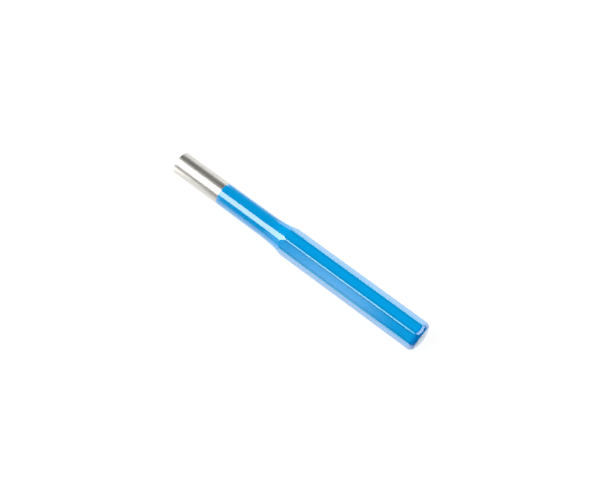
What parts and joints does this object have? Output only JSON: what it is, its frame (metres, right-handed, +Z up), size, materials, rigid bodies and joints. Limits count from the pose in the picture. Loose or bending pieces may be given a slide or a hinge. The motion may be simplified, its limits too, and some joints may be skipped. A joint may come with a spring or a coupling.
{
  "type": "pin punch",
  "caption": "Straight pin punch: a bright round working pin, a flared neck, an octagonal shank and a crowned striking head, dipped in glossy blue lacquer.",
  "frame": {"origin": "on the surface that the punch lies on, under the middle of its length", "axes": "+X along the axis from the working pin to the struck head, +Z up from the flat of the shank that it lies on"},
  "size_m": [0.15, 0.0142, 0.0142],
  "materials": {
    "ground_steel": "ground bright",
    "blue_lacquer": "dipped gloss lacquer"
  },
  "bodies": {
    "root": {"steel_punch": "ground_steel", "lacquer_coat": "blue_lacquer"}
  },
  "joints": []
}
